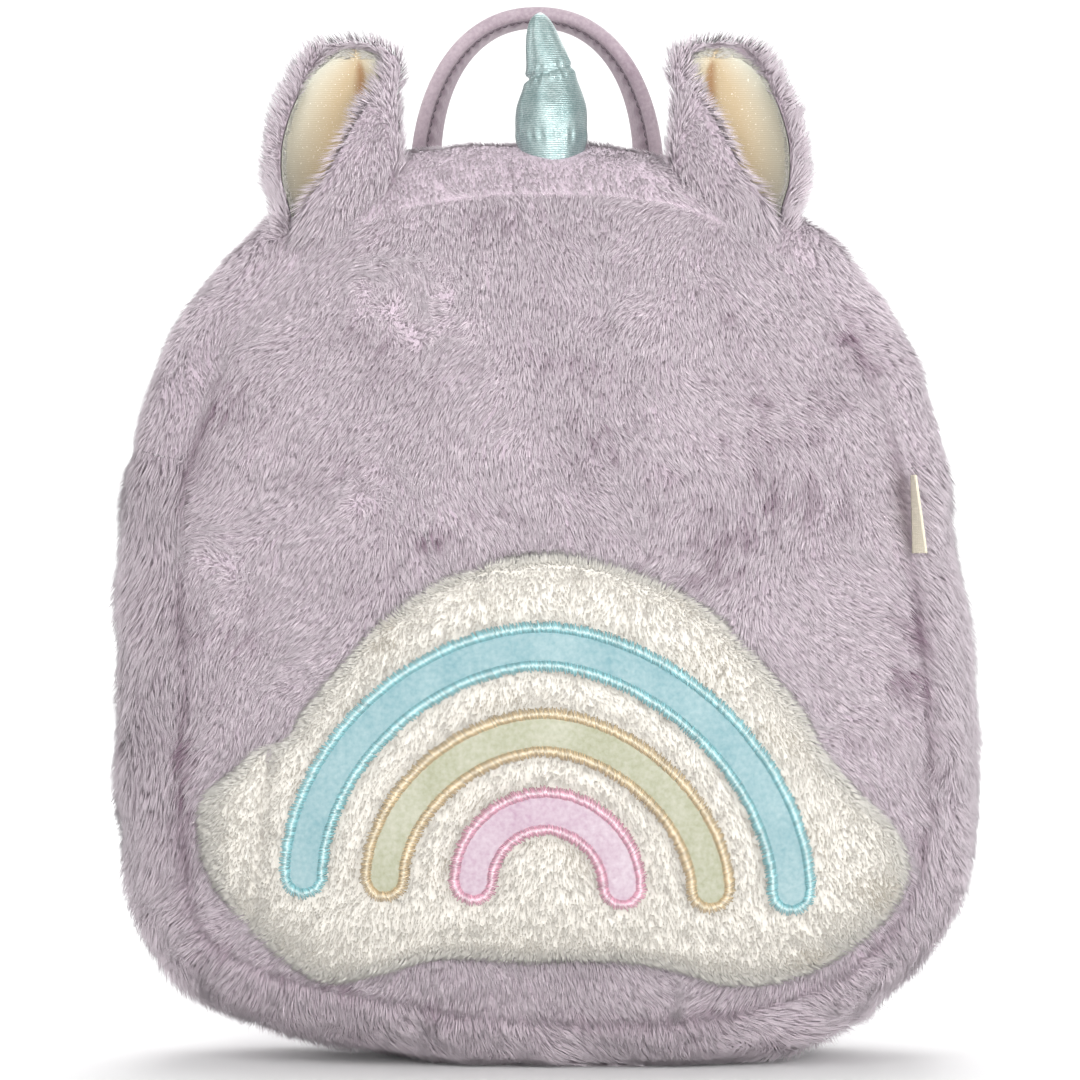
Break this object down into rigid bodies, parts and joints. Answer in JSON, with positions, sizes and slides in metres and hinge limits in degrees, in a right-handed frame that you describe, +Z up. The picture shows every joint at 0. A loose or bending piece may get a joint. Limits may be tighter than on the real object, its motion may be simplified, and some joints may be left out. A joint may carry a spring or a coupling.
{
  "type": "kids animal backpack",
  "caption": "Child's rounded faux-fur backpack with folded ears, a stuffed horn, a padded cloud and rainbow front, a grab handle and padded shoulder straps.",
  "frame": {"origin": "on the floor, under the middle of the object's bounding box", "axes": "+Z up, +X to the right seen from the front, +Y towards the wearer's back; the bag's face looks along -Y"},
  "size_m": [0.2558, 0.1546, 0.3169],
  "materials": {
    "lilac_fur": "long-pile faux fur",
    "cream_plush": "short dense plush",
    "lilac_velour": "short velour",
    "lilac_cloth": "brushed cloth",
    "lilac_webbing": "woven webbing",
    "zip_cloth": "woven tape with a moulded coil",
    "zip_metal": "lacquered",
    "lilac_plastic": "moulded",
    "aqua_foil_cloth": "knitted with metallic thread, shiny",
    "cream_lurex": "velvet with metallic thread",
    "blue_velvet": "velvet with a satin-stitched edge",
    "yellow_velvet": "velvet with a satin-stitched edge",
    "pink_velvet": "velvet with a satin-stitched edge",
    "label_tape": "plain woven tape"
  },
  "bodies": {
    "root": {"front_panel": "lilac_fur", "gusset_lower": "lilac_fur", "gusset_top_front": "lilac_fur", "gusset_top_back": "lilac_fur", "ear_left": "lilac_fur", "ear_right": "lilac_fur", "zip_tape": "zip_cloth", "zip_slider": "zip_metal", "back_panel": "lilac_cloth", "horn": "aqua_foil_cloth", "handle": "lilac_velour", "cloud_patch": "cream_plush", "rainbow_blue": "blue_velvet", "rainbow_yellow": "yellow_velvet", "rainbow_pink": "pink_velvet", "side_label": "label_tape", "ear_lining_left": "cream_lurex", "ear_lining_right": "cream_lurex", "shoulder_strap_left": "lilac_velour", "shoulder_strap_right": "lilac_velour", "strap_webbing_left": "lilac_webbing", "strap_webbing_right": "lilac_webbing", "strap_ring_left": "lilac_plastic", "strap_ring_right": "lilac_plastic"}
  },
  "joints": []
}
